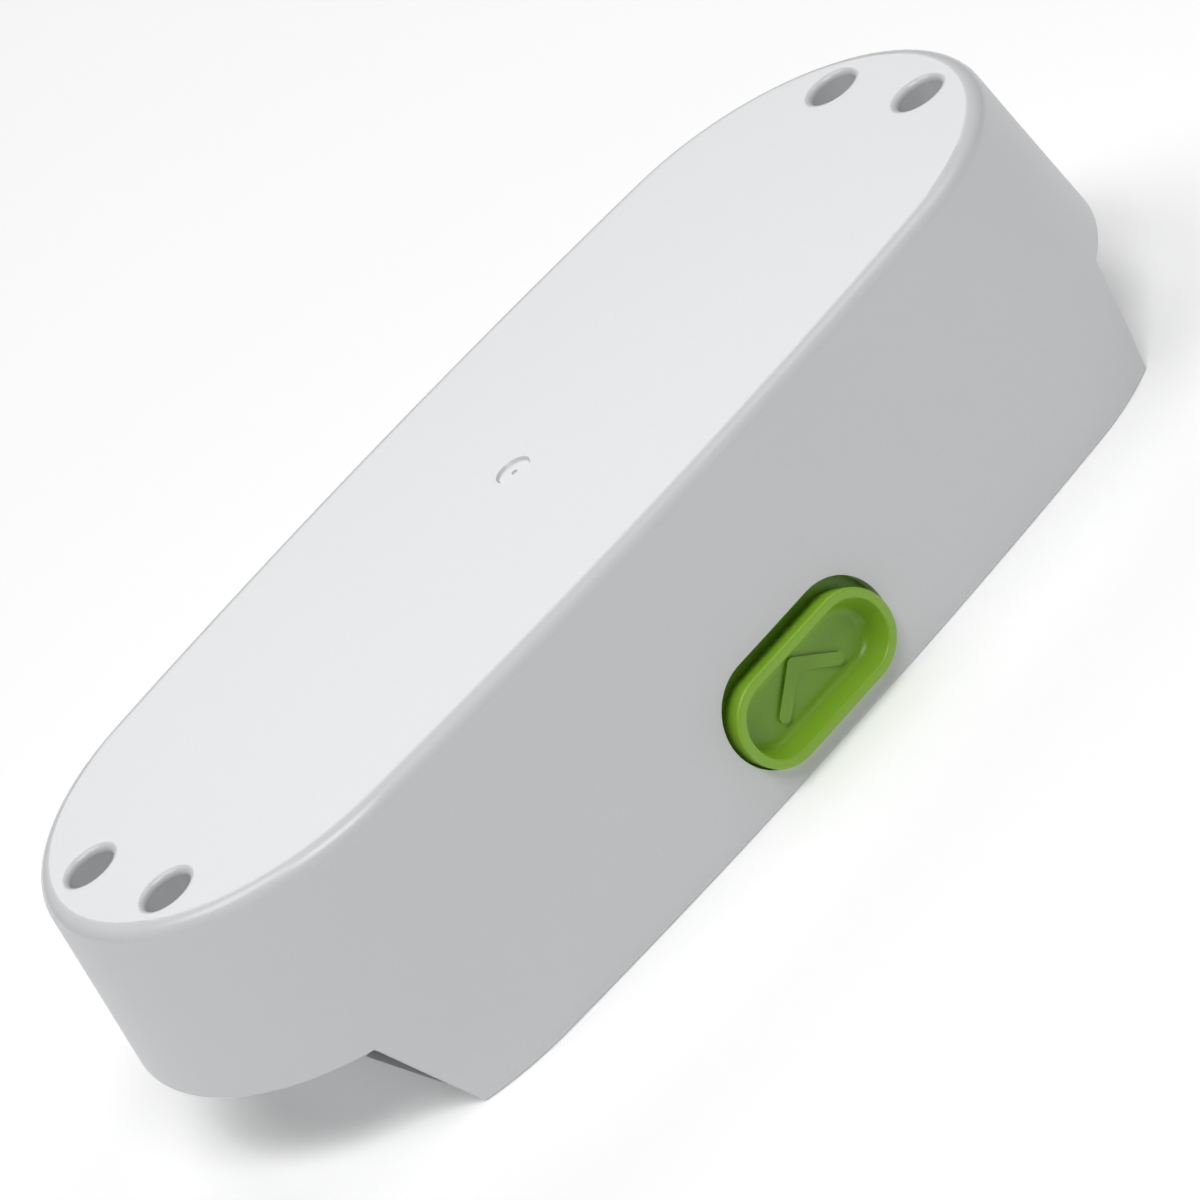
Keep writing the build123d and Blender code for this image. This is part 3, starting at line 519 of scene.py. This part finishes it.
def makeFoam(name, spec):
    paint, tree, shader = newMaterial(name, {"Roughness": 0.9, "Sheen Weight": 0.2})
    bubbles = put(tree, "ShaderNodeTexVoronoi", {"feature": "SMOOTH_F1"},
                  {"Scale": spec["poreScale"], "Smoothness": spec["poreSoftness"]},
                  {"Vector": objectPoint(tree)})
    # painted shade: the pore pits are darkened towards their centres, standing in for the shade that falls in
    # them
    depth = spread(tree, bubbles.outputs["Distance"], 1.0, 0.0, 0.0, spec["poreShare"])
    mottle = useGroup(tree, mottleGroup, Scale=spec["mottleScale"], Low=spec["mottleLow"])
    tone = calc(tree, "MULTIPLY", depth, mottle.outputs["Value"])
    join(tree, blendColour(tree, tone, spec["body"], spec["poreShade"]), shader, "Base Color")
    addBump(tree, shader, bubbles.outputs["Distance"], spec["poreDepth"], spec["bumpStrength"])
    return paint


paints = {
    "case_plastic": makeCasePlastic("casePlastic", casePlastic),
    # the base cover gets the darkened copy of the case plastic: painted shade
    "cover_plastic": makeCasePlastic("coverPlasticShaded", coverPlasticShaded),
    "board": makeCircuitBoard("circuitBoard", circuitBoard),
    "foam": makeFoam("foamPad", foamPad),
}
for slotName, spec in mouldedParts.items():
    paints[slotName] = makeMoulded(slotName, **spec)
for slotName, spec in metalParts.items():
    paints[slotName] = makeMetal(slotName, **spec)
print("materials made:", len(paints))


def dressNodes():
    for node in nodes.values():
        for place in node.material_slots:
            place.material = paints[place.material.name.split(".")[0]]


dressNodes()
print("nodes dressed")


# foam pad between the cells and the face: a soft slab with rounded sides, hollowed a little over the cells

padShape = {
    "cornerRound": 0.6 * mm,
    "roundLimit": 0.4,          # of the pad's thickness
    "roundSteps": 4,
    "border": 1.5 * mm,
    "slope": 1.2 * mm,
    "press": 0.15 * mm,
    "facingDown": -0.9,
    "broadShare": 0.3,          # least share of the pad's plan that its broad face covers
    "smoothAngle": 40,
}


def clearSelection():
    bpy.ops.object.select_all(action="DESELECT")
    bpy.context.view_layer.objects.active = None


def addFoamPad():
    clearSelection()
    low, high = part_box("foam_pad")
    size = high - low
    bpy.ops.mesh.primitive_cube_add(size=1.0, location=(low + high) / 2)
    pad = bpy.context.active_object
    pad.name = "foamSlab"
    pad.scale = size
    bpy.ops.object.transform_apply(location=True, rotation=False, scale=True)
    bevel = pad.modifiers.new("softEdge", "BEVEL")
    bevel.width = min(padShape["cornerRound"], size.z * padShape["roundLimit"])
    bevel.segments = padShape["roundSteps"]
    bpy.ops.object.modifier_apply(modifier=bevel.name)
    # the underside is inset and pressed in where the cells bear on it
    bpy.ops.object.mode_set(mode="EDIT")
    bpy.ops.mesh.select_mode(type="FACE")
    bpy.ops.mesh.select_all(action="DESELECT")
    bpy.ops.object.mode_set(mode="OBJECT")
    broad = size.x * size.y * padShape["broadShare"]
    for face in pad.data.polygons:
        face.select = face.normal.z < padShape["facingDown"] and face.area > broad
    bpy.ops.object.mode_set(mode="EDIT")
    bpy.ops.mesh.inset(thickness=padShape["border"], depth=0.0)
    bpy.ops.mesh.inset(thickness=padShape["slope"], depth=-padShape["press"])
    bpy.ops.object.mode_set(mode="OBJECT")
    bpy.ops.object.shade_smooth_by_angle(angle=radians(padShape["smoothAngle"]))
    pad.data.materials.append(paints["foam"])
    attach(pad, "pack")
    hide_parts("foam_pad")


addFoamPad()
print("foam pad shaped")


# studio: a pale floor and four soft panels round the case

white = (1.0, 1.0, 1.0, 1.0)

studio = {
    "floorSize": 8.0,
    "floorDrop": 0.2 * mm,
    "floorColour": (0.92, 0.92, 0.92, 1.0),
    "floorRoughness": 0.9,
    "floorGlow": 0.18,
    "world": 0.04,
    "lamps": {
        "keyLight": {"turn": 247, "lift": 65, "size": 0.7, "power": 7.0},
        "topFront": {"turn": 340, "lift": 66, "size": 0.7, "power": 10.0},
        "backLight": {"turn": 157, "lift": 36, "size": 0.7, "power": 4.2},
        "sideLight": {"turn": 75, "lift": 55, "size": 0.7, "power": 3.0},
    },
    "distance": 1.5,
}


def around(turn, lift):
    # unit vector from the case: turn 0 is its front, 90 its right end
    turn = radians(turn)
    lift = radians(lift)
    return Vector((sin(turn) * cos(lift), -cos(turn) * cos(lift), sin(lift)))


def addPanel(name, spec):
    data = bpy.data.lights.new(name, "AREA")
    data.size = spec["size"]
    data.energy = spec["power"]
    lamp = bpy.data.objects.new(name, data)
    bpy.context.scene.collection.objects.link(lamp)
    away = around(spec["turn"], spec["lift"])
    lamp.location = away * studio["distance"]
    lamp.rotation_mode = "QUATERNION"
    lamp.rotation_quaternion = away.to_track_quat("Z", "Y")


def addStudio():
    bpy.ops.mesh.primitive_plane_add(size=studio["floorSize"], location=(0, 0, -studio["floorDrop"]))
    floor = bpy.context.active_object
    floor.name = "studioFloor"
    paint = newMaterial("studioFloor", {
        "Base Color": studio["floorColour"],
        "Roughness": studio["floorRoughness"],
        "Emission Color": white,
        "Emission Strength": studio["floorGlow"],
    })[0]
    floor.data.materials.append(paint)
    world = bpy.data.worlds.new("studio")
    bpy.context.scene.world = world
    world.use_nodes = True
    backdrop = world.node_tree.nodes["Background"]
    backdrop.inputs["Color"].default_value = white
    backdrop.inputs["Strength"].default_value = studio["world"]
    for name, spec in studio["lamps"].items():
        addPanel(name, spec)
    bpy.context.scene.view_settings.view_transform = "Standard"


addStudio()
print("studio lit")
